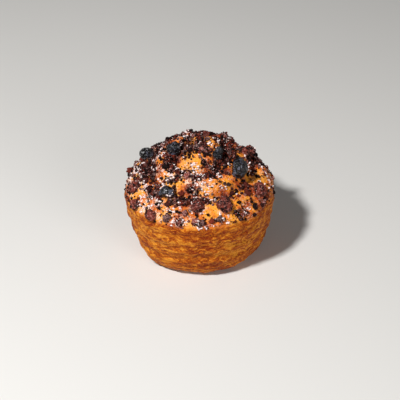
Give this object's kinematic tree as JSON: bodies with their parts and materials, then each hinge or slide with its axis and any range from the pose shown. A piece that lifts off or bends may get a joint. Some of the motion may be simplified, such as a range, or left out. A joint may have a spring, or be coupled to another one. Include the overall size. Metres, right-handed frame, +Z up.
{
  "type": "cookie croissant",
  "caption": "Croissant swirl: laminated dough rolled into a spiral, with a flat base, a tapered side and a domed top strewn with broken cookie.",
  "frame": {"origin": "middle of the flat face that the croissant rests on", "axes": "+Z up out of the base, X to the right and Y away from the viewer of the pictured side"},
  "size_m": [0.0903, 0.0896, 0.0712],
  "materials": {
    "baked_dough": "golden brown baked crust, satin",
    "dark_cookie": "near-black cookie, slightly glossy",
    "brown_cookie": "dark reddish-brown cookie, matt"
  },
  "bodies": {
    "root": {"croissant": "baked_dough", "dark_chunk_1": "dark_cookie", "dark_chunk_2": "dark_cookie", "dark_chunk_3": "dark_cookie", "dark_chunk_4": "dark_cookie", "dark_chunk_5": "dark_cookie", "dark_chunk_6": "dark_cookie", "brown_chunk_1": "brown_cookie", "brown_chunk_2": "brown_cookie", "brown_chunk_3": "brown_cookie", "brown_chunk_4": "brown_cookie", "brown_chunk_5": "brown_cookie", "brown_chunk_6": "brown_cookie", "brown_chunk_7": "brown_cookie", "brown_chunk_8": "brown_cookie", "brown_chunk_9": "brown_cookie"}
  },
  "joints": []
}
